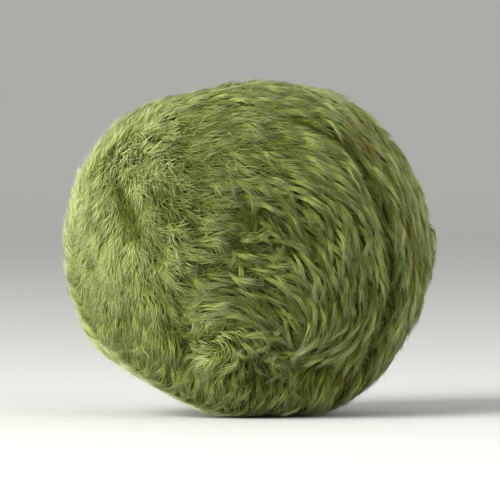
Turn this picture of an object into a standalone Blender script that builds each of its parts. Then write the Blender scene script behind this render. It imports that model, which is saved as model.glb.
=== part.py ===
"""Artificial marimo moss ball: a plush cover drawn round a hollow lattice ball.

Metres, +Z up. The origin is on the surface that the ball rests on, under the middle of its outline.
The combed face of the pile looks along -Y, and +X is to its right.
"""
import math

import bmesh
import bpy
import numpy as np
from mathutils import Vector

# Cover: distances are from the centre of the ball to the tips of the pile
PILE_RADIUS = 0.0223
SEAT_DISTANCE = 0.0202
SEAT_FLATNESS = 1e-6

# Soft flat places, as (angle from +X round the combed face, distance)
PRESSED_PLACES = (
    (math.radians(103.5), 0.0203),
    (math.radians(81.0), 0.0209),
    (math.radians(242.0), 0.0201),
)
PRESS_BLEND = 0.0004
LEAST_COSINE = 0.3

# Places where the pile stands out, as (angle from +X round the combed face, rise, spread)
RAISED_PLACES = (
    (math.radians(0.0), 0.0007, math.radians(6.0)),
    (math.radians(165.0), 0.0005, math.radians(22.0)),
)

# Furrows on the combed face, as (x and z of one end, x and z of the other, depth, spread)
FURROWS = (
    ((-0.0166, 0.0084), (-0.0146, 0.0024), 0.0006, math.radians(4.5)),
    ((-0.0098, -0.0064), (-0.0078, -0.0144), 0.0008, math.radians(4.5)),
    ((0.0070, -0.0142), (0.0112, -0.0166), 0.0010, math.radians(5.0)),
)

# Crease: a ring round the axis of the gathered mouth, which fades away from the right of the face
GATHER_AZIMUTH = math.radians(61.0)
GATHER_ELEVATION = math.radians(9.0)
CREASE_ANGLE = math.radians(97.6)
CREASE_HALF_WIDTH = math.radians(2.8)
CREASE_DEPTH = 0.0012
CREASE_STARTS_AT = 0.45
CREASE_FULL_AT = 0.67

# Mouth at the back, where the cover is gathered
MOUTH_ANGLE = math.radians(4.5)
PUCKER_DEPTH = 0.0012
PUCKER_SPREAD = math.radians(9.0)

# Lattice ball inside the cover
CORE_RADIUS = 0.0174
LINING_CLEARANCE = 0.0005
RESTING_GAP = 0.0003
LATTICE_CUTS = 2
STRUT_WIDTH = 0.0011

# Fineness of the cover's surface
SEGMENTS = 56
RING_STEP = math.radians(5.2)
LINING_RINGS = 14
POLE_MERGE = 1e-3

PLUSH_GREEN = (0.130, 0.170, 0.045, 1.0)
PLUSH_ROUGHNESS = 0.95
CORE_GREY = (0.060, 0.062, 0.065, 1.0)
CORE_ROUGHNESS = 0.45


def clear_scene():
    """Remove what the new file starts with."""
    for thing in list(bpy.data.objects):
        bpy.data.objects.remove(thing, do_unlink=True)


def make_material(name, color, roughness):
    """A plain material for one sub-part."""
    material = bpy.data.materials.new(name)
    material.use_nodes = True
    shader = material.node_tree.nodes["Principled BSDF"]
    shader.inputs["Base Color"].default_value = color
    shader.inputs["Roughness"].default_value = roughness
    shader.inputs["Metallic"].default_value = 0.0
    material.diffuse_color = color
    return material


def face_direction(angle):
    """The unit direction at an angle from +X round the combed face."""
    return np.array((math.cos(angle), 0.0, math.sin(angle)))


def front_direction(x, z):
    """The unit direction to the point of the combed face seen at x and z from its middle."""
    depth = math.sqrt(PILE_RADIUS ** 2 - x ** 2 - z ** 2)
    return np.array((x, -depth, z)) / PILE_RADIUS


def gather_direction():
    """The unit direction of the gathered mouth, at the back of the ball."""
    level = math.cos(GATHER_ELEVATION)
    return np.array((
        level * math.cos(GATHER_AZIMUTH),
        level * math.sin(GATHER_AZIMUTH),
        math.sin(GATHER_ELEVATION),
    ))


def angle_between(directions, axis):
    """The angle of each unit direction from an axis."""
    return np.arccos(np.clip(directions @ axis, -1.0, 1.0))


def angle_from_furrow(directions, start, end):
    """The angle of each unit direction from the line between two other directions."""
    along = end - start
    share = np.clip(((directions - start) @ along) / (along @ along), 0.0, 1.0)
    nearest = start + share[:, None] * along
    nearest /= np.linalg.norm(nearest, axis=1)[:, None]
    return np.arccos(np.clip((directions * nearest).sum(axis=1), -1.0, 1.0))


def hump(angles, spread):
    """A smooth hump: 1 at no angle, and almost nothing past two spreads."""
    return np.exp(-((angles / spread) ** 2))


def distance_to_plane(directions, axis, distance):
    """How far each unit direction runs to a plane across an axis, long where it turns away."""
    return distance / np.maximum(directions @ axis, LEAST_COSINE)


def softly_pressed(radii, to_plane):
    """The smaller of the radii and the distances to a plane, rounded off where they meet."""
    return -PRESS_BLEND * np.log(np.exp(-radii / PRESS_BLEND) + np.exp(-to_plane / PRESS_BLEND))


def crease_depth(directions):
    """How deep the crease is along each unit direction."""
    from_ring = angle_between(directions, gather_direction()) - CREASE_ANGLE
    to_the_right = (directions[:, 0] - CREASE_STARTS_AT) / (CREASE_FULL_AT - CREASE_STARTS_AT)
    share = np.clip(to_the_right, 0.0, 1.0)
    smooth_share = share * share * (3.0 - 2.0 * share)
    return CREASE_DEPTH * hump(from_ring, CREASE_HALF_WIDTH) * smooth_share


def pile_radii(directions):
    """The distance from the centre to the tips of the pile along each unit direction."""
    radii = np.full(len(directions), PILE_RADIUS)
    for angle, rise, spread in RAISED_PLACES:
        radii += rise * hump(angle_between(directions, face_direction(angle)), spread)
    for angle, distance in PRESSED_PLACES:
        to_plane = distance_to_plane(directions, face_direction(angle), distance)
        radii = softly_pressed(radii, to_plane)
    for start, end, depth, spread in FURROWS:
        from_line = angle_from_furrow(directions, front_direction(*start), front_direction(*end))
        radii -= depth * hump(from_line, spread)
    radii -= crease_depth(directions)
    radii -= PUCKER_DEPTH * hump(angle_between(directions, gather_direction()), PUCKER_SPREAD)
    to_seat = distance_to_plane(directions, np.array((0.0, 0.0, -1.0)), SEAT_DISTANCE)
    return np.minimum(radii, to_seat)


def outer_ring_angles():
    """The angles of the cover's outer rings from the mouth's axis, close together at the crease."""
    before = CREASE_ANGLE - 2.0 * CREASE_HALF_WIDTH
    after = CREASE_ANGLE + 2.0 * CREASE_HALF_WIDTH
    steps_before = round((before - MOUTH_ANGLE) / RING_STEP)
    steps_after = round((math.pi - after) / RING_STEP)
    crease = (CREASE_ANGLE - CREASE_HALF_WIDTH, CREASE_ANGLE, CREASE_ANGLE + CREASE_HALF_WIDTH)
    return [
        *np.linspace(MOUTH_ANGLE, before, steps_before + 1),
        *crease,
        *np.linspace(after, math.pi, steps_after + 1),
    ]


def turned_skin(bm, ring_angles, axis):
    """Turn an arc of unit radius round an axis, and return the skin's vertices."""
    older = set(bm.verts)
    side = axis.orthogonal().normalized()
    arc = []
    for angle in ring_angles:
        arc.append(bm.verts.new(math.cos(angle) * axis + math.sin(angle) * side))
    edges = [bm.edges.new(pair) for pair in zip(arc, arc[1:])]
    bmesh.ops.spin(
        bm, geom=arc + edges, cent=(0.0, 0.0, 0.0), axis=axis,
        angle=math.tau, steps=SEGMENTS, use_merge=True,
    )
    far_pole = [v for v in bm.verts if v not in older and (v.co + axis).length < POLE_MERGE]
    bmesh.ops.remove_doubles(bm, verts=far_pole, dist=POLE_MERGE)
    return [v for v in bm.verts if v not in older]


def mouth_edges(vertices):
    """The open edges of a turned skin, round its mouth."""
    edges = {edge for vertex in vertices for edge in vertex.link_edges}
    return [edge for edge in edges if edge.is_boundary]


def flatten_seat(bm):
    """Make the faces that lie on the resting surface one flat face."""
    on_seat = {v for v in bm.verts if abs(v.co.z + SEAT_DISTANCE) < SEAT_FLATNESS}
    for vertex in on_seat:
        vertex.co.z = -SEAT_DISTANCE
    seat = [face for face in bm.faces if on_seat.issuperset(face.verts)]
    bmesh.ops.dissolve_faces(bm, faces=seat, use_verts=True)


def make_moss_cover(parent):
    """The plush cover: the form of its pile, a lining round the core, and the mouth between."""
    axis = Vector(gather_direction())
    bm = bmesh.new()
    pile = turned_skin(bm, outer_ring_angles(), axis)
    radii = pile_radii(np.array([vertex.co for vertex in pile]))
    for vertex, radius in zip(pile, radii):
        vertex.co *= float(radius)

    lining = turned_skin(bm, np.linspace(MOUTH_ANGLE, math.pi, LINING_RINGS + 1), axis)
    for vertex in lining:
        vertex.co *= CORE_RADIUS + LINING_CLEARANCE

    bmesh.ops.bridge_loops(bm, edges=mouth_edges(pile) + mouth_edges(lining))
    bmesh.ops.recalc_face_normals(bm, faces=bm.faces)
    flatten_seat(bm)
    mesh = bpy.data.meshes.new("moss_cover")
    bm.to_mesh(mesh)
    bm.free()
    mesh.shade_smooth()
    mesh.materials.append(make_material("moss_plush", PLUSH_GREEN, PLUSH_ROUGHNESS))

    cover = bpy.data.objects.new("moss_cover", mesh)
    cover.parent = parent
    bpy.context.collection.objects.link(cover)
    return cover


def make_lattice_core(parent):
    """The hollow lattice ball: the edges of a geodesic sphere, made into struts."""
    bm = bmesh.new()
    bmesh.ops.create_icosphere(bm, subdivisions=1, radius=CORE_RADIUS)
    bmesh.ops.subdivide_edges(bm, edges=bm.edges, cuts=LATTICE_CUTS, use_grid_fill=True)
    for vertex in bm.verts:
        vertex.co = vertex.co.normalized() * CORE_RADIUS
    mesh = bpy.data.meshes.new("lattice_core")
    bm.to_mesh(mesh)
    bm.free()
    mesh.materials.append(make_material("core_plastic", CORE_GREY, CORE_ROUGHNESS))

    core = bpy.data.objects.new("lattice_core", mesh)
    core.parent = parent
    core.location.z = RESTING_GAP - LINING_CLEARANCE
    bpy.context.collection.objects.link(core)

    struts = core.modifiers.new("struts", 'WIREFRAME')
    struts.thickness = STRUT_WIDTH
    struts.offset = -1.0
    struts.use_even_offset = False
    return core


def stand_on_origin(centre, cover):
    """Raise the ball onto its seat, with the middle of its outline over the origin."""
    corners = np.array([vertex.co for vertex in cover.data.vertices])
    middle = (corners.min(axis=0) + corners.max(axis=0)) / 2.0
    centre.location = (-middle[0], -middle[1], SEAT_DISTANCE)


def main():
    clear_scene()
    centre = bpy.data.objects.new("ball_centre", None)
    bpy.context.collection.objects.link(centre)
    cover = make_moss_cover(centre)
    make_lattice_core(centre)
    stand_on_origin(centre, cover)


main()
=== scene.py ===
# %% [markdown]
# # A plush moss ball
# The real ball is a hollow plastic lattice inside a soft plush cover. What the eye sees is the pile:
# thousands of fine green fibres, matted into small locks and combed round the face of the ball.
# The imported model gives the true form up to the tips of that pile, and everything here is fitted to it.

# %% Load the frame
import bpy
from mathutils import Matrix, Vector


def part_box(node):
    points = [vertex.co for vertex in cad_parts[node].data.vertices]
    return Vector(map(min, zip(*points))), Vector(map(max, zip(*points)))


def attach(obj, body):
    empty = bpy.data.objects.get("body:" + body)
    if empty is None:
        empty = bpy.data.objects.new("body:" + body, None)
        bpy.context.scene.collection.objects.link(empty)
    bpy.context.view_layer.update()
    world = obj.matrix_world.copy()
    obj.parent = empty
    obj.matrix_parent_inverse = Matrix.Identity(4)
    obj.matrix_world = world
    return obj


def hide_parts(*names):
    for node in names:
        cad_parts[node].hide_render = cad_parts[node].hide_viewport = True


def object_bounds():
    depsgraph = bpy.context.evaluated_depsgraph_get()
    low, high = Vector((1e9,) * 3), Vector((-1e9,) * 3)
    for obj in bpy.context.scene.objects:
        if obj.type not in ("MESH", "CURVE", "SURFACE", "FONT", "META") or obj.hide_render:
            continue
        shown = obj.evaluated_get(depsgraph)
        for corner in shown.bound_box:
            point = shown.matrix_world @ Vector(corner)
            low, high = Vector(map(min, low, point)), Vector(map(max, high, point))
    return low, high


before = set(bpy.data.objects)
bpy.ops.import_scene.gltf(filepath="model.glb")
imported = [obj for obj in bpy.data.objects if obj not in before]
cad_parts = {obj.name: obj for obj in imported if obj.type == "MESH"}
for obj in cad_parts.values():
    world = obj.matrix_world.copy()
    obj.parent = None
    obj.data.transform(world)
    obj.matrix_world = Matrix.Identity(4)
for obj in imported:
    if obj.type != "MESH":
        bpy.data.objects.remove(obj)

cad_low, cad_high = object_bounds()
print("box in mm:", [round(1000.0 * size, 1) for size in cad_high - cad_low])

# %% Tools for the whole lesson
import math

import bpy
import numpy as np
from mathutils import Vector
from mathutils.bvhtree import BVHTree

MM = 0.001
LEAST_LENGTH = 1e-12
chance = np.random.default_rng(41)


def deselect_all():
    """Leave nothing selected, in object mode."""
    if bpy.context.object and bpy.context.object.mode != 'OBJECT':
        bpy.ops.object.mode_set(mode='OBJECT')
    bpy.ops.object.select_all(action='DESELECT')


def work_on(piece):
    """Make one piece the selected and active one."""
    deselect_all()
    piece.select_set(True)
    bpy.context.view_layer.objects.active = piece


def select_faces(piece, wanted):
    """Select the faces whose centre passes a test, ready for edit mode."""
    bpy.ops.object.mode_set(mode='OBJECT')
    for part in (piece.data.vertices, piece.data.edges, piece.data.polygons):
        part.foreach_set("select", [False] * len(part))
    for face in piece.data.polygons:
        face.select = wanted(face.center)
    bpy.ops.object.mode_set(mode='EDIT')
    bpy.ops.mesh.select_mode(type='FACE')


def unit(vectors):
    """Each vector of an array, made one unit long."""
    return vectors / np.maximum(np.linalg.norm(vectors, axis=-1, keepdims=True), LEAST_LENGTH)


# %% [markdown]
# ## The ball's own directions
# The lattice ball rests in the cover a hair below the ball's own middle, so its box gives that middle.
# The cover was drawn together at the back, and the crease is a ring round that gathered mouth.
# All the pile is described by directions from the middle, which makes a round thing easy to comb.

# %% Find the middle, the mouth and the crease
core_low, core_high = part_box("lattice_core")
cover_low, cover_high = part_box("moss_cover")
CORE_SAG = 0.2 * MM
core_radius = (core_high.z - core_low.z) / 2.0
centre = np.array((core_low + core_high) / 2.0 + Vector((0.0, 0.0, CORE_SAG)))
ball_radius = (cover_high.y - cover_low.y) / 2.0

GATHER_AZIMUTH = math.radians(61.0)
GATHER_ELEVATION = math.radians(9.0)
CREASE_ANGLE = math.radians(97.6)
gather = np.array((
    math.cos(GATHER_ELEVATION) * math.cos(GATHER_AZIMUTH),
    math.cos(GATHER_ELEVATION) * math.sin(GATHER_AZIMUTH),
    math.sin(GATHER_ELEVATION),
))
print("middle in mm:", (1000.0 * centre).round(2), "radius", round(1000.0 * ball_radius, 2))

# %% [markdown]
# ## The felt under the pile
# The pile grows out of a thin felted backing. It could be a sphere, but the ball has soft flat places
# and a crease, so a copy of the cover's solid is used: its lining is cut away, the mouth is closed, and
# the skin is shrunk by the depth of the pile. One subdivision rounds off its facets.

# %% Make the felt from the cover
PILE_DEPTH = 1.45 * MM
LINING_MARGIN = 0.9 * MM
MOUTH_REACH = math.radians(5.5)
MERGE = 0.001 * MM

felt = bpy.data.objects.new("moss_felt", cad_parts["moss_cover"].data.copy())
bpy.context.collection.objects.link(felt)
felt.data.materials.clear()
work_on(felt)
bpy.ops.object.mode_set(mode='EDIT')
bpy.ops.mesh.select_all(action='SELECT')
bpy.ops.mesh.remove_doubles(threshold=MERGE)


def inside_skin(place):
    """True for the faces of the lining and of the mouth's wall."""
    from_middle = place - Vector(centre)
    in_lining = from_middle.length < core_radius + LINING_MARGIN
    return in_lining or from_middle.angle(Vector(gather)) < MOUTH_REACH


select_faces(felt, inside_skin)
bpy.ops.mesh.delete(type='FACE')
bpy.ops.mesh.select_mode(type='EDGE')
bpy.ops.mesh.select_all(action='DESELECT')
bpy.ops.mesh.select_non_manifold()
bpy.ops.mesh.edge_face_add()
bpy.ops.mesh.poke()
bpy.ops.mesh.select_all(action='SELECT')
bpy.ops.mesh.normals_make_consistent(inside=False)
bpy.ops.mesh.tris_convert_to_quads()
bpy.ops.transform.shrink_fatten(value=-PILE_DEPTH)
bpy.ops.object.mode_set(mode='OBJECT')
print("felt faces:", len(felt.data.polygons))

# %% Smooth the felt
FELT_LEVELS = 1
smooth = felt.modifiers.new("smooth", 'SUBSURF')
smooth.levels = FELT_LEVELS
smooth.render_levels = FELT_LEVELS
bpy.ops.object.modifier_apply(modifier="smooth")
bpy.ops.object.shade_smooth()
print("smoothed felt faces:", len(felt.data.polygons))

# %% [markdown]
# ## A map of the felt
# Every fibre has to know how far the felt is from the middle, in its own direction. Casting a ray for
# each point of each fibre would be slow, so rays are cast once over a grid of longitude and latitude,
# and the fibres read the distances from that map.

# %% Map the felt's distance from the middle
MAP_COLUMNS = 540
MAP_ROWS = 270
felt_tree = BVHTree.FromObject(felt, bpy.context.evaluated_depsgraph_get())


def grid_direction(column, row):
    """The direction at one point of the map."""
    longitude = math.tau * column / MAP_COLUMNS
    latitude = math.pi * row / MAP_ROWS
    level = math.sin(latitude)
    return Vector((level * math.cos(longitude), level * math.sin(longitude), math.cos(latitude)))


felt_map = np.zeros((MAP_ROWS + 1, MAP_COLUMNS + 1))
for row in range(MAP_ROWS + 1):
    for column in range(MAP_COLUMNS):
        reach = felt_tree.ray_cast(Vector(centre), grid_direction(column, row))[3]
        felt_map[row, column] = reach or ball_radius - PILE_DEPTH
felt_map[:, MAP_COLUMNS] = felt_map[:, 0]
print("felt lies from", (1000.0 * felt_map.min()).round(2), "to", (1000.0 * felt_map.max()).round(2), "mm")


def felt_distance(directions):
    """How far the felt is from the middle, along each direction of an array."""
    longitude = np.arctan2(directions[..., 1], directions[..., 0]) % math.tau
    latitude = np.arccos(np.clip(directions[..., 2], -1.0, 1.0))
    across = longitude / math.tau * MAP_COLUMNS
    down = latitude / math.pi * MAP_ROWS
    column = np.minimum(across.astype(int), MAP_COLUMNS - 1)
    row = np.minimum(down.astype(int), MAP_ROWS - 1)
    right, below = across - column, down - row
    upper = felt_map[row, column] * (1.0 - right) + felt_map[row, column + 1] * right
    lower = felt_map[row + 1, column] * (1.0 - right) + felt_map[row + 1, column + 1] * right
    return upper * (1.0 - below) + lower * below


# %% [markdown]
# ## The combing chart
# A groomer lays a few guide locks by hand and lets the rest follow them. The guides here are places on
# the face of the ball, in millimetres right and up from its middle, with the way the tips point there,
# in degrees from +X. They follow the real pile: over the top to the right, down both sides, and in an
# arch over the bottom. Away from the face the pile runs round the gathered mouth, swaying a little, and
# is drawn in towards it. That part is a guess, because the photograph shows only the face.

# %% Lay the guide locks
GUIDES = {
    "top": ((-8.6, 17.6, -3), (-1.4, 17.6, -6), (5.8, 17.6, -12), (-11.0, 14.0, -22), (-4.6, 12.8, -12),
            (2.6, 13.6, -18), (9.8, 14.4, -32)),
    "upper_right": ((14.6, 12.4, -50), (5.8, 9.6, -28), (11.4, 8.0, -45), (17.0, 7.2, -68), (0.2, 8.8, -32)),
    "right": ((20.2, 1.6, -85), (15.4, 1.6, -78), (10.6, 2.4, -72), (5.8, 3.2, -48), (5.8, -0.8, -58),
              (10.6, -3.2, -82), (15.4, -4.8, -85), (19.4, -6.4, -100)),
    "lower_right": ((10.6, -7.2, -100), (15.4, -9.6, -122), (12.2, -10.4, -150), (8.6, -12.0, 172)),
    "middle": ((-8.6, 0.8, -12), (-3.8, 0.8, -3), (1.0, 0.0, -12), (-3.8, -4.0, -20), (-7.8, 8.0, -20),
               (-4.6, 6.4, -20)),
    "arch": ((-7.8, -9.2, 68), (-5.4, -8.4, 35), (-1.4, -9.2, 0), (2.2, -6.4, -28), (5.8, -8.8, -58),
             (3.4, -12.0, -35), (-3.0, -12.8, -155)),
    "fringe": ((-6.2, -16.0, -80), (-0.6, -17.2, -90), (5.0, -16.8, -95), (10.6, -16.4, -115)),
    "left": ((-11.0, -7.2, -80), (-10.2, -12.8, -82), (-14.2, -2.4, -80), (-14.2, -9.6, -85),
             (-18.2, 0.8, -92), (-18.2, -6.4, -88), (-13.4, 4.8, -70), (-18.2, 7.2, -92)),
    "upper_left": ((-14.2, 10.8, -58), (-11.0, 8.8, -50), (-10.6, 4.0, -40), (-11.0, -2.0, -50)),
}
GUIDE_REACH = math.radians(9.0)
CREASE_STARTS_AT = 0.45
CREASE_FADES_OVER = 0.15


def face_place(right, up):
    """The direction to the place on the face seen at millimetres right and up from its middle."""
    flat = np.array((right, 0.0, up)) * MM / ball_radius
    flat[1] = -math.sqrt(max(1.0 - flat @ flat, 0.0))
    return flat


def face_heading(place, degrees):
    """The way along the ball at a place that is seen from the front at an angle from +X."""
    right, up = math.cos(math.radians(degrees)), math.sin(math.radians(degrees))
    inward = -(right * place[0] + up * place[2]) / place[1]
    return unit(np.array((right, inward, up)))


guide_places = np.array([face_place(x, z) for area in GUIDES.values() for x, z, _ in area])
guide_headings = np.array([
    face_heading(face_place(x, z), degrees) for area in GUIDES.values() for x, z, degrees in area
])
print("guide locks:", len(guide_places))

# %% Comb by the guides
SWIRL_SHARE = 0.12
CREASE_COMBED = 2.4
CREASE_SWIRL = 3.5
DRAWN_IN = 0.13
DRAWN_IN_REACH = math.radians(28.0)
SWAY = 0.045
SWAY_WAVES = np.array(((3.1, -1.7, 2.2), (-2.4, 3.3, 1.2), (1.6, 2.1, -3.4)))


def angle_from(directions, axis):
    """The angle of each direction of an array from an axis."""
    return np.arccos(np.clip(directions @ axis, -1.0, 1.0))


def crease_share(directions, reach):
    """1 in the crease, falling to nothing at a reach in millimetres to either side of it."""
    from_ring = (angle_from(directions, gather) - CREASE_ANGLE) * ball_radius / MM
    to_the_right = np.clip((directions[..., 0] - CREASE_STARTS_AT) / CREASE_FADES_OVER, 0.0, 1.0)
    return np.exp(-(from_ring / reach) ** 2) * to_the_right


def combed(directions):
    """Which way the tips of the pile point, along the ball, at each direction of an array."""
    share = SWIRL_SHARE + CREASE_SWIRL * crease_share(directions, CREASE_COMBED)
    drawn_in = DRAWN_IN * np.exp(-(angle_from(directions, gather) / DRAWN_IN_REACH) ** 2)
    heading = share[..., None] * np.cross(gather, directions) + drawn_in[..., None] * gather
    heading = heading + SWAY * np.sin(directions @ SWAY_WAVES.T)
    for place, guide in zip(guide_places, guide_headings):
        heading = heading + np.exp(-(angle_from(directions, place) / GUIDE_REACH) ** 2)[..., None] * guide
    return unit(heading - (heading * directions).sum(axis=-1, keepdims=True) * directions)


def turned(headings, directions, angles):
    """Headings turned by angles, in the plane of the felt."""
    sideways = np.cross(directions, headings)
    return headings * np.cos(angles)[..., None] + sideways * np.sin(angles)[..., None]


# %% [markdown]
# ## One strand
# The strand is modelled once: a three-sided cone is cut across its middle and made fuller there, so that
# it stays even for half of its length and then comes to a point. Its height is its length, from 0 at the
# root to 1 at the tip, and it is bent to its own path when it is copied. With only ten faces, there can
# be over eighty thousand of them. The finest hairs need no bend, and are the same cone uncut.

# %% Model the strands
class Strand:
    """A pointed strand one unit long and one across: its points, its faces and its stations."""

    def __init__(self, name, cuts, fuller):
        deselect_all()
        bpy.ops.mesh.primitive_cone_add(
            vertices=3, radius1=1.0, radius2=0.0, depth=1.0, end_fill_type='NGON', location=(0.0, 0.0, 0.5)
        )
        strand = bpy.context.object
        bpy.ops.object.transform_apply(location=True, rotation=True, scale=True)
        bpy.ops.object.mode_set(mode='EDIT')
        for height, factor in zip(cuts, fuller):
            bpy.ops.mesh.select_all(action='SELECT')
            bpy.ops.mesh.bisect(plane_co=(0.0, 0.0, height), plane_no=(0.0, 0.0, 1.0))
            bpy.ops.transform.resize(value=(factor, factor, 1.0), center_override=(0.0, 0.0, height))
        bpy.ops.mesh.select_all(action='SELECT')
        bpy.ops.mesh.quads_convert_to_tris()
        bpy.ops.object.mode_set(mode='OBJECT')
        self.points = np.array([vertex.co for vertex in strand.data.vertices])
        self.faces = np.array([face.vertices[:] for face in strand.data.polygons])
        self.stations = np.array((0.0, *cuts, 1.0))
        bpy.data.objects.remove(strand, do_unlink=True)
        print(name, "-", len(self.points), "points,", len(self.faces), "faces")


pile_strand = Strand("pile strand", (0.5,), (1.7,))
fuzz_strand = Strand("fuzz strand", (), ())

# %% [markdown]
# ## Copying a strand along many paths
# Particles and hair curves would be lost when the model is exported, so the fibres are joined meshes.
# Each copy takes the strand's rings to the stations of its own path. The copies carry one UV map: along
# it U runs from root to tip, and across it V is the strand's own tone, so one material colours them all.
# Fibres that lie in a furrow, in the crease or under others get painted shade: their U stops short of the
# end.

# %% Tools that copy strands
RING_MARGIN = 0.01
ROOT_U = 0.02
LENGTH_IN_U = 0.96
TONE_SPREAD = 0.004
LOWEST_V, HIGHEST_V = 0.005, 0.995


def bent_copies(strand, paths, sides, widths):
    """The points of the strand's copies, each bent along its own path of stations."""
    runs = unit(np.gradient(paths, axis=1))
    sides = unit(sides - (sides * runs).sum(axis=-1, keepdims=True) * runs)
    outward = np.cross(runs, sides)
    ring = np.searchsorted(strand.stations, strand.points[:, 2] - RING_MARGIN)
    across, lift = strand.points[:, 0][None, :, None], strand.points[:, 1][None, :, None]
    half = widths[:, None, None] / 2.0
    return paths[:, ring] + half * (across * sides[:, ring] + lift * outward[:, ring])


def make_strands(name, strand, paths, sides, widths, tones, shaded_ramp_reach):
    """One joined mesh of all the copies, with its UV map of length and tone."""
    points = bent_copies(strand, paths, sides, widths)
    count, size = points.shape[0], points.shape[1]
    corners = (strand.faces[None] + size * np.arange(count)[:, None, None]).reshape(-1)
    mesh = bpy.data.meshes.new(name)
    mesh.vertices.add(count * size)
    mesh.vertices.foreach_set("co", points.reshape(-1))
    mesh.loops.add(len(corners))
    mesh.loops.foreach_set("vertex_index", corners)
    mesh.polygons.add(len(corners) // 3)
    mesh.polygons.foreach_set("loop_start", np.arange(0, len(corners), 3))
    mesh.update(calc_edges=True)

    # Shaded fibres stop short of the pale end of the ramp, as painted shade.
    length = ROOT_U + LENGTH_IN_U * shaded_ramp_reach[:, None] * strand.points[None, :, 2]
    tone = np.clip(tones[:, None] + TONE_SPREAD * strand.points[None, :, 0], LOWEST_V, HIGHEST_V)
    uv_map = mesh.uv_layers.new(name="OFBake")
    uv_map.data.foreach_set("uv", np.stack((length, tone), axis=-1).reshape(-1, 2)[corners].reshape(-1))
    mesh.shade_smooth()

    piece = bpy.data.objects.new(name, mesh)
    bpy.context.collection.objects.link(piece)
    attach(piece, "root")
    print(name, "-", count, "strands,", len(mesh.polygons), "triangles")
    return piece


# %% [markdown]
# ## Sowing the locks
# The fibres of old plush cling together in small locks, and the dark lines between the locks are what
# makes the pile look combed. Roots are sown evenly over the ball on a spiral, each is walked along the
# combing chart, and the strands of a lock share its path and draw together towards its tip. Where the
# real pile is soft, fewer locks are sown. Such places are told by short lists, and what is uneven by
# chance comes from a sum of waves, which is smooth and has no seam on a ball.

# %% Tools that sow roots and mark places
GOLDEN_ANGLE = math.pi * (3.0 - math.sqrt(5.0))


def sown(count, scatter):
    """Directions spread evenly over the ball, each moved a little by chance."""
    rank = np.arange(count) + 0.5
    height = 1.0 - 2.0 * rank / count
    level = np.sqrt(1.0 - height ** 2)
    angle = GOLDEN_ANGLE * rank
    even = np.stack((level * np.cos(angle), level * np.sin(angle), height), axis=-1)
    spacing = math.sqrt(4.0 * math.pi / count)
    return unit(even + chance.normal(0.0, scatter * spacing, even.shape))


def near(directions, right, up, reach):
    """1 at a place of the face, falling to nothing at a reach in millimetres away."""
    away = angle_from(directions, face_place(right, up)) * ball_radius / MM
    return np.exp(-(away / reach) ** 2)


def along(directions, start, end, reach):
    """1 on the line between two places of the face, falling to nothing at a reach in millimetres."""
    first, last = face_place(*start), face_place(*end)
    share = np.clip((directions - first) @ (last - first) / ((last - first) @ (last - first)), 0.0, 1.0)
    nearest = unit(first + share[..., None] * (last - first))
    away = np.arccos(np.clip((directions * nearest).sum(axis=-1), -1.0, 1.0)) * ball_radius / MM
    return np.exp(-(away / reach) ** 2)


# %% A tool for unevenness
class Uneven:
    """Smooth uneven values over the ball, about -1 to 1, in patches of a size in millimetres."""

    WAVES = 16
    COARSEST, FINEST = 0.7, 1.4
    STRENGTH = 0.85
    STEPS = 5
    STEPS_STRENGTH = 1.6

    def __init__(self, size):
        finer = chance.uniform(self.COARSEST, self.FINEST, (self.WAVES, 1))
        finer = finer * math.pi * ball_radius / (size * MM)
        self.waves = unit(chance.normal(0.0, 1.0, (self.WAVES, 3))) * finer
        self.starts = chance.uniform(0.0, math.tau, self.WAVES)

    def at(self, directions):
        waves = np.sin(directions @ self.waves.T + self.starts)
        return waves.sum(axis=-1) * self.STRENGTH / math.sqrt(self.WAVES)

    def drawn_out(self, directions, length):
        """The same, drawn out along the combing like brush strokes of a length."""
        here, total = directions, 0.0
        for _ in range(self.STEPS):
            total = total + self.at(here)
            here = unit(here + combed(here) * length / self.STEPS / ball_radius)
        return total / self.STEPS * self.STEPS_STRENGTH


# %% Sow the locks, and leave some out where the pile is soft
# Each soft place: right, up and reach in millimetres, and how soft it is
SOFT_PLACES = (
    (-15.5, -1.0, 6.5, 1.0), (-15.0, 7.5, 5.0, 1.0), (-13.0, -11.0, 5.0, 0.4), (-21.0, 4.0, 7.0, 1.0),
    (-13.5, 15.0, 5.0, 0.7), (-18.5, 10.0, 4.0, 0.6), (-18.5, -9.5, 5.0, 0.5), (-7.0, 12.0, 6.0, 0.70),
    (-6.5, 3.0, 5.0, 0.45), (1.0, 17.0, 6.0, 0.35), (-4.0, -14.0, 5.0, 0.35), (-4.2, -11.2, 2.4, 0.5),
)


def softness(directions):
    """1 where the pile stands up soft and unmatted, 0 where it lies in clear locks."""
    soft = sum(share * near(directions, *place) for *place, share in SOFT_PLACES)
    return np.minimum(soft, 1.0)


LOCK_COUNT = 4700
LOCK_SCATTER = 0.35
THINNING_STARTS, THINNING_ENDS = 0.5, 1.7
ball_square_mm = 4.0 * math.pi * (ball_radius / MM) ** 2
lock_roots = sown(LOCK_COUNT, LOCK_SCATTER)
lock_soft = softness(lock_roots)
lock_is_combed = lock_soft < chance.uniform(THINNING_STARTS, THINNING_ENDS, LOCK_COUNT)
print("one lock to", round(ball_square_mm / LOCK_COUNT, 2), "square mm")
print("locks left out on the soft side:", int((~lock_is_combed).sum()))

# %% Turn each lock a little
# Each whorl: right, up and reach in millimetres
WHORLS = ((-0.5, 3.0, 4.0), (1.0, -11.5, 3.6))
RUFFLE = math.radians(6.5)
SOFT_RUFFLE = math.radians(12.0)
WHORL_RUFFLE = math.radians(30.0)
CURL = math.radians(14.0)
WHORL_CURL = math.radians(60.0)
LOCK_LENGTH = 5.0 * MM
SHORTEST_LOCK, LONGEST_LOCK = 0.75, 1.25
SOFT_SHORTER = 0.30
WHORL_SHORTER = 0.35

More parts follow.
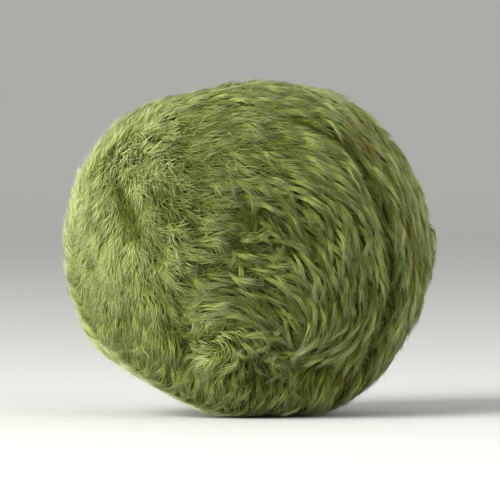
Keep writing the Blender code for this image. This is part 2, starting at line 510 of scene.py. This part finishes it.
ruffled = np.minimum(sum(near(lock_roots, *whorl) for whorl in WHORLS), 1.0)
ruffle = RUFFLE + WHORL_RUFFLE * ruffled + SOFT_RUFFLE * lock_soft
lock_turn = chance.normal(0.0, 1.0, LOCK_COUNT) * ruffle
lock_curl = chance.normal(0.0, 1.0, LOCK_COUNT) * (CURL + WHORL_CURL * ruffled)
lock_length = LOCK_LENGTH * chance.uniform(SHORTEST_LOCK, LONGEST_LOCK, LOCK_COUNT)
lock_length *= (1.0 - WHORL_SHORTER * ruffled) * (1.0 - SOFT_SHORTER * lock_soft)
print("locks from", (1000.0 * lock_length.min()).round(1), "to", (1000.0 * lock_length.max()).round(1), "mm")

# %% A tool that walks a path
def walked(strand, roots, turns, curls, lengths):
    """The directions and headings of each path at every station, from its root on."""
    here, places, headings = roots, [], []
    for before, station in zip((0.0, *strand.stations), strand.stations):
        heading = turned(combed(here), here, turns + curls * station)
        step = (lengths * (station - before) / ball_radius)[:, None]
        here = unit(here * np.cos(step) + heading * np.sin(step))
        places.append(here)
        headings.append(unit(heading - (heading * here).sum(axis=-1, keepdims=True) * here))
    return np.stack(places, axis=1), np.stack(headings, axis=1)


# %% [markdown]
# ## Tones of the pile
# The green isn't even: single locks are paler or darker, the ball has broad patches, and a few fibres
# near the crease are rusty brown. The tone of a strand is a number from 0 to 1. The greens take most of
# it, from dark to light, and the top end is kept for the brown. In the furrows and the crease the pile
# is painted darker, and its colour stops short of the pale tips, both as painted shade. Some paler and
# darker places are painted light and shade too. An image could hold all this, but short lists of places
# are easier to read and to change.

# %% Mark the furrows and the tufts
# Each furrow: its two ends and its reach. Each raised place: right, up, reach and share of the height
FURROWS = (
    ((-15.8, 8.2), (-14.0, 2.6), 1.3), ((-9.2, -8.4), (-7.8, -14.4), 0.5),
    ((6.6, -14.0), (11.6, -16.4), 1.2), ((4.4, 16.7), (10.9, 13.9), 1.0),
    ((10.9, 13.9), (14.2, 10.4), 1.0), ((-1.8, 4.6), (1.0, 4.2), 0.9),
    ((-1.0, -16.0), (4.4, -16.4), 1.0), ((-2.4, 0.4), (-0.4, 1.2), 0.8),
)
RAISED_PLACES = (
    (22.2, 0.4, 3.0, 0.55), (14.6, -15.4, 5.0, 0.32), (20.5, 8.0, 6.0, 0.10), (-17.0, 13.0, 6.0, 0.12),
    (0.0, 20.5, 8.0, -0.22),
)
patches = Uneven(7.0)
tufts = Uneven(1.9)
wisps = Uneven(0.8)
PATCH_SHARE, TUFT_SHARE = 0.5, 0.8
WISP_LENGTH = 2.6 * MM
# Half the colour ramp is cut off in the furrows and the crease, as painted shade.
HALF_RAMP_IN_SHADE = 0.5
CREASE_SHADE_AND_SINK_REACH = 1.0


def furrowed(directions):
    """1 along the middle of a furrow of the pile."""
    return np.minimum(sum(along(directions, *furrow) for furrow in FURROWS), 1.0)


def unshaded_share(directions):
    """How far along the colour ramp fibres reach: all the way, but half in the furrows and the crease, as
    painted shade.
    """
    sunken = furrowed(directions) + crease_share(directions, CREASE_SHADE_AND_SINK_REACH)
    return 1.0 - HALF_RAMP_IN_SHADE * np.minimum(sunken, 1.0)


def tufted(directions):
    """Broad patches and tufts together, about -1 to 1."""
    return PATCH_SHARE * patches.at(directions) + TUFT_SHARE * tufts.at(directions)


print("furrows:", len(FURROWS), "raised or sunken places:", len(RAISED_PLACES))

# %% Mark the paler and darker places
# Each place: right, up and reach in millimetres, and how much paler it is, or darker below nought
UNEVEN_TONE = 0.20
# The crease and the furrows are painted darker, as shade.
CREASE_PAINTED_SHADE = 0.45
CREASE_SHADE_REACH = 1.4
FURROW_PAINTED_SHADE = 0.64
# Many of these places are painted light and shade: paler where little light falls, as at the lower left and
# the right rim, and darker on faces that get much of it.
TONE_AND_PAINTED_LIGHT_PLACES = (
    (-11.4, 8.5, 2.0, 0.14), (-12.4, 6.0, 1.6, 0.14), (-15.0, 13.0, 2.6, 0.16), (-18.0, -6.5, 4.0, 0.34),
    (-19.8, -2.6, 2.5, 0.12), (-11.2, -1.8, 2.4, 0.20), (-11.6, -5.0, 3.0, 0.30), (-12.0, -8.4, 3.2, 0.34),
    (-12.0, -12.0, 3.4, 0.34), (-5.4, -15.8, 3.4, 0.34), (-6.4, -17.8, 2.0, 0.28), (-4.2, -12.0, 2.4, 0.26),
    (9.4, -17.6, 1.8, 0.42), (11.6, -17.4, 2.0, 0.30), (13.0, -16.2, 3.0, 0.38), (13.0, 5.6, 2.0, 0.18),
    (16.4, 0.0, 1.8, 0.32), (17.5, 10.9, 3.0, 0.55),
    (-18.2, 7.0, 3.2, -0.32), (-18.2, 10.6, 2.4, -0.22), (-15.6, 11.2, 1.4, -0.20), (-9.2, 2.5, 2.6, -0.16),
    (-8.4, 6.0, 3.0, -0.26), (-6.4, 11.6, 4.2, -0.26), (-1.6, 3.0, 3.0, -0.25), (-0.4, -5.0, 2.2, -0.20),
    (3.2, -16.2, 3.8, -0.02), (8.6, -14.2, 2.0, -0.16), (15.0, -7.0, 4.0, -0.14),
)


def tone_and_painted_light(directions):
    """How much paler or darker the pile is painted at each direction: its patches, painted light and shade
    at places, and painted shade in the crease and the furrows.
    """
    by_place = sum(paler * near(directions, *place) for *place, paler in TONE_AND_PAINTED_LIGHT_PLACES)
    # Painted shade: the crease and the furrows are made darker.
    sunken = CREASE_PAINTED_SHADE * crease_share(directions, CREASE_SHADE_REACH)
    sunken = sunken + FURROW_PAINTED_SHADE * furrowed(directions)
    return UNEVEN_TONE * tufted(directions) + by_place - sunken


print("paler and darker places:", len(TONE_AND_PAINTED_LIGHT_PLACES))

# %% Give each lock its tone
DARKEST_GREEN = 0.02
LIGHTEST_GREEN = 0.86
BROWN_TONE = 0.95
LOCK_TONE = 0.38
TONES_DIFFER = 0.29
RIGHT_SIDE = (15.0, 2.0, 10.0)
# The locks of the right side and of the soft left side are painted paler, partly their own tone and partly
# painted light.
RIGHT_PALER_AND_LIT = 0.09
RIGHT_DIFFERS_MORE = 0.12
SOFT_LOCKS_PALER_AND_LIT = 0.23
BROWN_PLACES = ((13.6, 12.8), (20.4, -0.4), (13.8, -15.6))
BROWN_REACH = 2.2
BROWN_SHARE = 0.6

lock_middles = walked(pile_strand, lock_roots, lock_turn, lock_curl, lock_length)[0][:, 1]
lock_is_right = near(lock_middles, *RIGHT_SIDE)
lock_tone = chance.normal(0.0, 1.0, LOCK_COUNT) * (TONES_DIFFER + RIGHT_DIFFERS_MORE * lock_is_right)
lock_tone += LOCK_TONE + RIGHT_PALER_AND_LIT * lock_is_right + SOFT_LOCKS_PALER_AND_LIT * lock_soft ** 2
lock_tone = np.clip(lock_tone + tone_and_painted_light(lock_middles), DARKEST_GREEN, LIGHTEST_GREEN)
rusty = sum(near(lock_middles, right, up, BROWN_REACH) for right, up in BROWN_PLACES)
lock_is_brown = chance.uniform(0.0, 1.0, LOCK_COUNT) < BROWN_SHARE * rusty
print("brown locks:", int(lock_is_brown.sum()))

# %% [markdown]
# ## The combed pile
# Fifteen strands make a lock. They lie round its middle line like the fibres of a loosely spun yarn,
# with a slight twist, and close up towards the tip. Each lock rises from the felt and then lies over,
# and no two rise quite alike, so some throw shade on others. On the soft side they spread and mix.
# Where the ball stands, the strands are pressed flat on the surface.

# %% How high the pile rises, and where the floor stops it
LOWEST_RISE, HIGHEST_RISE = 0.58, 1.10
TUFT_RISE = 0.18
FURROW_SINKS = 0.6
FLOOR_GAP = 0.03 * MM
FLOOR_LAYERS = 6.0


def above_floor(points):
    """The points, with any that would be under the surface pressed onto it."""
    lowest = FLOOR_GAP * (1.0 + chance.uniform(0.0, FLOOR_LAYERS, points.shape[:-1]))
    pressed = points.copy()
    pressed[..., 2] = np.maximum(points[..., 2], lowest)
    return pressed


def growth(directions):
    """How high the pile rises at each direction, as a share of its usual height."""
    even = 1.0 + TUFT_RISE * tufted(directions) - FURROW_SINKS * furrowed(directions)
    return even + sum(share * near(directions, *place) for *place, share in RAISED_PLACES)


lock_rise = chance.uniform(LOWEST_RISE, HIGHEST_RISE, LOCK_COUNT) * growth(lock_middles)
rises_mm = lock_rise * PILE_DEPTH / MM
print("locks rise", rises_mm.min().round(2), "to", rises_mm.max().round(2), "mm above the felt")

# %% Bend the strands of a lock
STRANDS_PER_LOCK = 15
SHORTEST_STRAND, LONGEST_STRAND = 0.78, 1.12
STRAND_WIDTH = 0.105 * MM
THINNEST, THICKEST = 0.75, 1.2
STRAND_TONES = 0.10
STRAY = math.radians(3.0)
TWIST = 0.9
LOCK_HALF_WIDTH = 0.165 * MM
LOCK_THICKNESS = 0.30 * MM
CLOSING, CLOSING_CURVE = 0.45, 1.6
SHIFT = 0.07
SOFT_SPREAD = 1.6
SOFT_FAN = math.radians(9.0)
SOFT_SHIFTS_MORE = 1.5
SOFT_FLATTER = 0.6
SOFT_NARROWER = 0.2
LOWEST_STRAND, HIGHEST_STRAND = 0.9, 1.05
LYING_OVER = 2.0
CREASE_SINKS = 0.5
FULL_FROM, FULL_FOR = 0.12, 0.80


def lock_strands(chosen):
    """Paths, sides, widths, tones and painted shade of the strands of the chosen locks."""
    stations = pile_strand.stations
    lock = np.repeat(chosen, STRANDS_PER_LOCK)
    count, soft = len(lock), lock_soft[lock]
    turns = lock_turn[lock] + (STRAY + SOFT_FAN * soft) * chance.normal(0.0, 1.0, count)
    lengths = lock_length[lock] * chance.uniform(SHORTEST_STRAND, LONGEST_STRAND, count)
    places, headings = walked(pile_strand, lock_roots[lock], turns, lock_curl[lock], lengths)
    sides = np.cross(places, headings)

    twist = chance.normal(0.0, TWIST, LOCK_COUNT)[lock]
    around = chance.uniform(0.0, math.tau, count)[:, None] + twist[:, None] * stations
    from_middle = np.sqrt(chance.uniform(0.1, 1.0, count)) * (1.0 + SOFT_SPREAD * soft)
    closing = 1.0 - CLOSING * stations ** CLOSING_CURVE
    sideways = LOCK_HALF_WIDTH * from_middle[:, None] * np.cos(around) * closing
    forward = LOCK_LENGTH * chance.uniform(-SHIFT, SHIFT, count) * (1.0 + SOFT_SHIFTS_MORE * soft)
    moved = sideways[..., None] * sides + forward[:, None, None] * headings
    places = unit(places + moved / ball_radius)

    rise = PILE_DEPTH * lock_rise[lock] * chance.uniform(LOWEST_STRAND, HIGHEST_STRAND, count)
    rise *= 1.0 - CREASE_SINKS * crease_share(places[:, 0], CREASE_SHADE_AND_SINK_REACH)
    fullness = np.sin(math.pi * (FULL_FROM + FULL_FOR * stations)) * (1.0 - SOFT_FLATTER * soft[:, None])
    lift = rise[:, None] * (1.0 - (1.0 - stations) ** LYING_OVER)
    lift = lift + LOCK_THICKNESS / 2.0 * np.sin(around) * fullness
    paths = centre + places * (felt_distance(places) + np.maximum(lift, 0.0))[..., None]
    widths = STRAND_WIDTH * chance.uniform(THINNEST, THICKEST, count) * (1.0 - SOFT_NARROWER * soft)
    tones = lock_tone[lock] + chance.normal(0.0, STRAND_TONES, count)
    tones = np.clip(tones, DARKEST_GREEN, LIGHTEST_GREEN)
    tones[lock_is_brown[lock]] = BROWN_TONE
    return above_floor(paths), sides, widths, tones, unshaded_share(places[:, 1])


# %% Make the combed pile
CREASE_BARE_REACH = 0.9
PILE_PIECES = 4

pile = []
lock_grows = lock_is_combed & (crease_share(lock_roots, CREASE_BARE_REACH) < 0.5)
by_longitude = np.argsort(np.arctan2(lock_roots[:, 1], lock_roots[:, 0]))
by_longitude = by_longitude[lock_grows[by_longitude]]
for number, chosen in enumerate(np.array_split(by_longitude, PILE_PIECES), start=1):
    pile.append(make_strands(f"moss_pile_{number}", pile_strand, *lock_strands(chosen)))

# %% [markdown]
# ## The soft pile, the undercoat and the fuzz
# On the left the pile isn't matted: short single fibres stand up close together, like velvet. Between
# the locks one looks down on an undercoat that lies every way. A few thin pale fibres stand out past the
# rest and blur the outline. All three are loose strands, with other lengths, widths and heights.

# %% A tool for loose strands
SHORTEST_LOOSE, LONGEST_LOOSE = 0.6, 1.3
THINNEST_LOOSE, THICKEST_LOOSE = 0.7, 1.2
LOOSE_CURL = 0.35
LOOSE_LYING_OVER = 1.5


def loose_strands(strand, roots, turns, length, width, starts, rises, tones, shaded_ramp_reach=1.0):
    """Paths, sides, widths, tones and painted shade of single strands that don't gather into locks."""
    count = len(roots)
    lengths = length * chance.uniform(SHORTEST_LOOSE, LONGEST_LOOSE, count)
    places, headings = walked(strand, roots, turns, chance.normal(0.0, LOOSE_CURL, count), lengths)
    climb = 1.0 - (1.0 - strand.stations) ** LOOSE_LYING_OVER
    rise = starts[:, None] + (rises - starts)[:, None] * climb
    paths = centre + places * (felt_distance(places) + rise)[..., None]
    widths = width * chance.uniform(THINNEST_LOOSE, THICKEST_LOOSE, count)
    tones = np.clip(tones, DARKEST_GREEN, LIGHTEST_GREEN)
    return above_floor(paths), np.cross(places, headings), widths, tones, shaded_ramp_reach * unshaded_share(places[:, 1])


def by_chance(count, lowest, highest):
    """One value for each strand, evenly spread between two limits."""
    return chance.uniform(lowest, highest, count)


# %% Make the soft pile
SOFT_PER_SQUARE_MM = 24.0
SOFT_LENGTH = 2.8 * MM
SOFT_WIDTH = 0.10 * MM
SOFT_SCATTER = 0.4
SOFT_STARTS, SOFT_IS_FULL = 0.3, 1.3
SWIRL = math.radians(20.0)
SOFT_TURN = 0.2
LOWEST_SOFT, HIGHEST_SOFT = 0.84, 1.08
WISP_RISE = 0.36
SOFT_TONE, SOFT_TONES = 0.42, 0.05
WISP_TONE = 0.56
TUFT_TONE = 0.20
swirls = Uneven(1.5)

soft_roots = sown(round(ball_square_mm * SOFT_PER_SQUARE_MM), SOFT_SCATTER)
soft_roots = soft_roots[softness(soft_roots) > by_chance(len(soft_roots), SOFT_STARTS, SOFT_IS_FULL)]
soft_count = len(soft_roots)
soft_turns = SWIRL * swirls.at(soft_roots) + chance.normal(0.0, SOFT_TURN, soft_count)
level = np.zeros(soft_count)
soft_middles = walked(pile_strand, soft_roots, soft_turns, level, level + SOFT_LENGTH)[0][:, 1]
soft_wisps = wisps.drawn_out(soft_roots, WISP_LENGTH)
soft_rises = PILE_DEPTH * (by_chance(soft_count, LOWEST_SOFT, HIGHEST_SOFT) + WISP_RISE * soft_wisps)
soft_rises *= growth(soft_middles)
soft_tones = chance.normal(SOFT_TONE, SOFT_TONES, soft_count) + tone_and_painted_light(soft_middles)
soft_tones += WISP_TONE * soft_wisps + TUFT_TONE * tufts.at(soft_middles)
soft_pile = make_strands("moss_soft_pile", pile_strand, *loose_strands(
    pile_strand, soft_roots, soft_turns, SOFT_LENGTH, SOFT_WIDTH, level, soft_rises, soft_tones,
))

# %% Make the undercoat
# The undercoat uses about half the colour ramp, a little more on the soft side, as painted shade between the
# locks.
UNDERCOAT_COUNT = 7600
UNDERCOAT_LENGTH = 2.2 * MM
UNDERCOAT_WIDTH = 0.17 * MM
UNDERCOAT_TURN = 0.6
LOWEST_UNDER, HIGHEST_UNDER = 0.3, 0.62
DARKEST_UNDER, PALEST_UNDER = 0.04, 0.32
SOFT_UNDER_RISES = 0.22
SOFT_UNDER_PALER = 0.2
SOFT_UNDER_LESS_SHADE = 0.3
LOOSE_SCATTER = 0.5

undercoat_roots = sown(UNDERCOAT_COUNT, LOOSE_SCATTER)
undercoat_soft = softness(undercoat_roots)
undercoat_turns = chance.normal(0.0, UNDERCOAT_TURN, UNDERCOAT_COUNT)
undercoat_rises = by_chance(UNDERCOAT_COUNT, LOWEST_UNDER, HIGHEST_UNDER) + SOFT_UNDER_RISES * undercoat_soft
undercoat_tones = by_chance(UNDERCOAT_COUNT, DARKEST_UNDER, PALEST_UNDER) + tone_and_painted_light(undercoat_roots)
undercoat = make_strands("moss_undercoat", pile_strand, *loose_strands(
    pile_strand, undercoat_roots, undercoat_turns, UNDERCOAT_LENGTH, UNDERCOAT_WIDTH,
    np.zeros(UNDERCOAT_COUNT), PILE_DEPTH * undercoat_rises,
    undercoat_tones + SOFT_UNDER_PALER * undercoat_soft, HALF_RAMP_IN_SHADE + SOFT_UNDER_LESS_SHADE * undercoat_soft,
))

# %% Make the fuzz
FUZZ_COUNT = 15000
FUZZ_LENGTH = 1.7 * MM
FUZZ_WIDTH = 0.05 * MM
FUZZ_TURN = 0.7
FUZZ_STARTS = 0.4 * PILE_DEPTH
FUZZ_STANDS_OUT = 0.95 * MM
FEW_STAND_OUT = 1.8
DARKEST_FUZZ, PALEST_FUZZ = 0.3, 0.8
FUZZ_FOLLOWS_TONE = 0.7

fuzz_roots = sown(FUZZ_COUNT, LOOSE_SCATTER)
fuzz_turns = chance.normal(0.0, FUZZ_TURN, FUZZ_COUNT)
fuzz_rises = PILE_DEPTH + FUZZ_STANDS_OUT * by_chance(FUZZ_COUNT, 0.0, 1.0) ** FEW_STAND_OUT
fuzz_rises *= np.minimum(growth(fuzz_roots), 1.0)
fuzz_tones = by_chance(FUZZ_COUNT, DARKEST_FUZZ, PALEST_FUZZ) + FUZZ_FOLLOWS_TONE * tone_and_painted_light(fuzz_roots)
fuzz = make_strands("moss_fuzz", fuzz_strand, *loose_strands(
    fuzz_strand, fuzz_roots, fuzz_turns, FUZZ_LENGTH, FUZZ_WIDTH,
    np.full(FUZZ_COUNT, FUZZ_STARTS), fuzz_rises, fuzz_tones,
))

# %% [markdown]
# ## Materials as sums
# A material's number can be worked out like any other number. The class below wraps a socket of the
# material, so that plus, minus and times add the nodes they need, and one method adds any other node.

# %% A number in a material
class Number:
    """A number that changes over the surface, with the usual arithmetic."""

    def __init__(self, finish, socket):
        self.finish = finish
        self.socket = socket

    def worked(self, operation, first, second):
        return self.finish.add('ShaderNodeMath', {"operation": operation}, {0: first, 1: second})

    def __add__(self, other):
        return self.worked('ADD', self, other)

    def __mul__(self, other):
        return self.worked('MULTIPLY', self, other)

    def __sub__(self, other):
        return self.worked('SUBTRACT', self, other)

    def __rsub__(self, other):
        return self.worked('SUBTRACT', other, self)

    __radd__ = __add__
    __rmul__ = __mul__


# %% A finish and its nodes
class Finish:
    """One material and the nodes that make it."""

    def __init__(self, name):
        self.material = bpy.data.materials.new(name)
        self.material.use_nodes = True
        self.nodes = self.material.node_tree.nodes
        self.links = self.material.node_tree.links
        self.shader = self.nodes["Principled BSDF"]

    def put(self, target, value):
        """Link or set one socket."""
        if isinstance(value, Number):
            self.links.new(value.socket, target)
        else:
            target.default_value = value

    def add(self, kind, settings, inputs, output=0):
        """Add a node: its settings first, then the values or links of its sockets."""
        node = self.nodes.new(kind)
        for setting, value in settings.items():
            if setting == "stops":
                self.set_stops(node.color_ramp, value)
            else:
                setattr(node, setting, value)
        for socket, value in inputs.items():
            self.put(node.inputs[socket], value)
        return Number(self, node.outputs[output])

    @staticmethod
    def set_stops(ramp, stops):
        """Give a colour ramp its stops, as (position, colour)."""
        while len(ramp.elements) < len(stops):
            ramp.elements.new(1.0)
        for element, (position, color) in zip(ramp.elements, stops):
            element.position = position
            element.color = color

    def mixed(self, share, first, second):
        """A colour between two others."""
        return self.add(
            'ShaderNodeMix', {"data_type": 'RGBA'}, {0: share, 6: first, 7: second}, output=2
        )

    def wear(self, piece):
        """Put this finish on a piece, in place of any other."""
        piece.data.materials.clear()
        piece.data.materials.append(self.material)


# %% Colours
def srgb(red, green, blue):
    """A colour as a screen gives it, 0 to 255, in the linear numbers that Blender uses."""
    return tuple(((part / 255.0 + 0.055) / 1.055) ** 2.4 for part in (red, green, blue)) + (1.0,)


# %% [markdown]
# ## The plush
# A fibre is darkest at its root and palest at its tip. This is partly painted light and shade, for the
# light that catches the tips and hardly reaches the roots, and partly the paler wear of the tips. Two ramps
# run along the fibre, one for the dark strands and one for the light ones, and the strand's tone picks a
# mixture of them. A third ramp is for the few brown strands. A little sheen stands for the light that fine
# hairs catch, and a little light goes through the fibres, as in thin plastic.

# %% Finish of the fibres
BROWN_STARTS = 0.9


def fibre_finish(name, dark_stops, light_stops, brown_stops):
    """A finish that runs along each fibre from root to tip, and goes from dark to light by its tone."""
    finish = Finish(name)
    parts = finish.nodes.new('ShaderNodeSeparateXYZ')
    finish.put(parts.inputs[0], finish.add('ShaderNodeUVMap', {"uv_map": "OFBake"}, {}))
    length, tone = Number(finish, parts.outputs[0]), Number(finish, parts.outputs[1])
    dark, light, brown = (
        finish.add('ShaderNodeValToRGB', {"stops": stops}, {0: length})
        for stops in (dark_stops, light_stops, brown_stops)
    )
    green = finish.mixed(tone * (1.0 / LIGHTEST_GREEN), dark, light)
    is_brown = finish.add('ShaderNodeMath', {"operation": 'GREATER_THAN'}, {0: tone, 1: BROWN_STARTS})
    finish.put(finish.shader.inputs["Base Color"], finish.mixed(is_brown, green, brown))
    finish.shader.inputs["Roughness"].default_value = 0.70
    finish.shader.inputs["Specular IOR Level"].default_value = 0.14
    finish.shader.inputs["Sheen Weight"].default_value = 0.04
    finish.shader.inputs["Sheen Roughness"].default_value = 0.5
    finish.shader.inputs["Sheen Tint"].default_value = srgb(190, 205, 120)
    finish.shader.inputs["Subsurface Weight"].default_value = 0.35
    finish.shader.inputs["Subsurface Radius"].default_value = (1.0, 1.0, 0.4)
    finish.shader.inputs["Subsurface Scale"].default_value = 0.25 * MM
    return finish


BROWN_STOPS = ((0.0, srgb(44, 36, 12)), (1.0, srgb(124, 108, 44)))
# The ramps from dark roots to pale tips are partly painted shade and light.
plush = fibre_finish(
    "combed_plush",
    ((0.0, srgb(34, 42, 0)), (0.45, srgb(66, 78, 10)), (1.0, srgb(114, 126, 56))),
    ((0.0, srgb(80, 94, 10)), (0.45, srgb(141, 158, 67)), (1.0, srgb(203, 216, 149))),
    BROWN_STOPS,
)
fuzz_finish = fibre_finish(
    "pale_fuzz",
    ((0.0, srgb(62, 80, 14)), (0.5, srgb(103, 121, 40)), (1.0, srgb(147, 164, 90))),
    ((0.0, srgb(88, 106, 28)), (0.5, srgb(145, 163, 78)), (1.0, srgb(188, 204, 134))),
    BROWN_STOPS,
)
for piece in (*pile, soft_pile, undercoat):
    plush.wear(piece)
fuzz_finish.wear(fuzz)
print("finishes of the fibres:", plush.material.name, "and", fuzz_finish.material.name)

# %% [markdown]
# ## The felt and the plastic
# The felt is only glimpsed between the fibres, so it is a deep green, mottled by noise, with a bump that
# is rough at the scale of its fibres. The lattice is moulded plastic: grey, satin, faintly pitted. Both
# patterns are noise in the space of the object, because neither piece has a weave that follows it.

# %% Finish of the felt
felt_finish = Finish("felted_backing")
felt_place = felt_finish.add('ShaderNodeTexCoord', {}, {}, output=3)
mottle = felt_finish.add('ShaderNodeTexNoise', {}, {"Vector": felt_place, "Scale": 900.0, "Detail": 4.0})
felt_finish.put(
    felt_finish.shader.inputs["Base Color"],
    felt_finish.mixed(mottle, srgb(32, 40, 5), srgb(56, 66, 14)),
)
felt_finish.put(
    felt_finish.shader.inputs["Normal"],
    felt_finish.add('ShaderNodeBump', {}, {"Height": mottle, "Strength": 0.6, "Distance": 0.1 * MM}),
)
felt_finish.shader.inputs["Roughness"].default_value = 0.95
felt_finish.wear(felt)
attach(felt, "root")
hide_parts("moss_cover")
print("finish of the felt:", felt_finish.material.name)

# %% Finish of the lattice
LEAST_ROUGH, PITS_ROUGHER = 0.38, 0.18
lattice_finish = Finish("moulded_grey_plastic")
lattice_place = lattice_finish.add('ShaderNodeTexCoord', {}, {}, output=3)
pits = lattice_finish.add(
    'ShaderNodeTexNoise', {}, {"Vector": lattice_place, "Scale": 2500.0, "Detail": 2.0}
)
flow = lattice_finish.add('ShaderNodeTexNoise', {}, {"Vector": lattice_place, "Scale": 120.0})
lattice_finish.put(
    lattice_finish.shader.inputs["Base Color"],
    lattice_finish.mixed(flow, srgb(64, 66, 68), srgb(84, 86, 88)),
)
lattice_finish.put(lattice_finish.shader.inputs["Roughness"], LEAST_ROUGH + PITS_ROUGHER * pits)
lattice_finish.put(
    lattice_finish.shader.inputs["Normal"],
    lattice_finish.add('ShaderNodeBump', {}, {"Height": pits, "Strength": 0.25, "Distance": 0.02 * MM}),
)
lattice_finish.wear(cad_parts["lattice_core"])
print("finish of the lattice:", lattice_finish.material.name)

# %% [markdown]
# ## Floor, light and camera
# The ball stands on a plain pale floor whose edge rises all round like a bowl, so no horizon cuts the
# picture. Its flat part is wide enough for the camera to go round the ball on it. The light is one broad
# soft lamp high on the left, as in a shop photograph, with a weak one on the right, and the camera looks
# almost level at the combed face through a long lens, which keeps the round outline true.

# %% Make the floor
FLOOR_RADIUS = 1.9
RIM_HEIGHT = 0.9
RIM_ROUNDING = 0.6
RIM_WIDER = 1.5
FLOOR_SIDES = 96

deselect_all()
bpy.ops.mesh.primitive_circle_add(vertices=FLOOR_SIDES, radius=FLOOR_RADIUS, fill_type='NGON')
floor = bpy.context.object
floor.name = "floor"
bpy.ops.object.mode_set(mode='EDIT')
bpy.ops.mesh.select_all(action='SELECT')
bpy.ops.mesh.select_mode(type='EDGE')
bpy.ops.mesh.region_to_loop()
bpy.ops.mesh.extrude_edges_move(TRANSFORM_OT_translate={"value": (0.0, 0.0, RIM_HEIGHT)})
bpy.ops.transform.resize(value=(RIM_WIDER, RIM_WIDER, 1.0))
bpy.ops.object.mode_set(mode='OBJECT')
rounded = floor.modifiers.new("rounded", 'BEVEL')
rounded.width = RIM_ROUNDING
rounded.segments = 12
rounded.angle_limit = math.radians(20.0)
bpy.ops.object.modifier_apply(modifier="rounded")
bpy.ops.object.shade_smooth()
print("floor faces:", len(floor.data.polygons))

# %% Finish of the floor
paper = Finish("pale_paper")
paper.shader.inputs["Base Color"].default_value = srgb(226, 226, 222)
paper.shader.inputs["Roughness"].default_value = 0.9
paper.wear(floor)

# %% Light it
ROOM_LIGHT = 0.45


def soft_lamp(name, place, size, watts, color):
    """A square soft lamp that faces the ball."""
    lamp_data = bpy.data.lights.new(name, 'AREA')
    lamp_data.size = size
    lamp_data.energy = watts
    lamp_data.color = color
    lamp = bpy.data.objects.new(name, lamp_data)
    bpy.context.collection.objects.link(lamp)
    lamp.location = Vector(centre) + Vector(place)
    lamp.rotation_euler = (-Vector(place)).to_track_quat('-Z', 'Y').to_euler()
    return lamp


soft_lamp("key_lamp", (-0.54, -0.55, 0.335), 0.55, 14.0, (1.0, 0.985, 0.96))
soft_lamp("fill_lamp", (0.45, -0.50, 0.20), 0.40, 1.7, (0.97, 0.98, 1.0))
world = bpy.data.worlds.new("studio")
bpy.context.scene.world = world
world.use_nodes = True
world.node_tree.nodes["Background"].inputs["Color"].default_value = (1.0, 1.0, 1.0, 1.0)
world.node_tree.nodes["Background"].inputs["Strength"].default_value = ROOM_LIGHT
bpy.context.scene.view_settings.view_transform = 'Standard'

# %% Place the camera
LENS = 400.0
SENSOR = 36.0
FRAME_WIDTH = 0.061
CAMERA_ELEVATION = math.radians(1.0)
AIM_LOWER = 0.35 * MM
NEAREST_SEEN = 0.01

distance = FRAME_WIDTH / 2.0 / (SENSOR / 2.0 / LENS)
camera_data = bpy.data.cameras.new("camera")
camera_data.lens = LENS
camera_data.sensor_width = SENSOR
camera = bpy.data.objects.new("camera", camera_data)
bpy.context.collection.objects.link(camera)
back = Vector((0.0, -math.cos(CAMERA_ELEVATION), math.sin(CAMERA_ELEVATION)))
aim = (cad_low + cad_high) / 2.0 + Vector((0.0, 0.0, -AIM_LOWER))
camera.location = aim + distance * back
camera.rotation_euler = (-back).to_track_quat('-Z', 'Y').to_euler()
camera_data.clip_start = NEAREST_SEEN
bpy.context.scene.camera = camera
print("camera", round(distance, 3), "m from the ball")
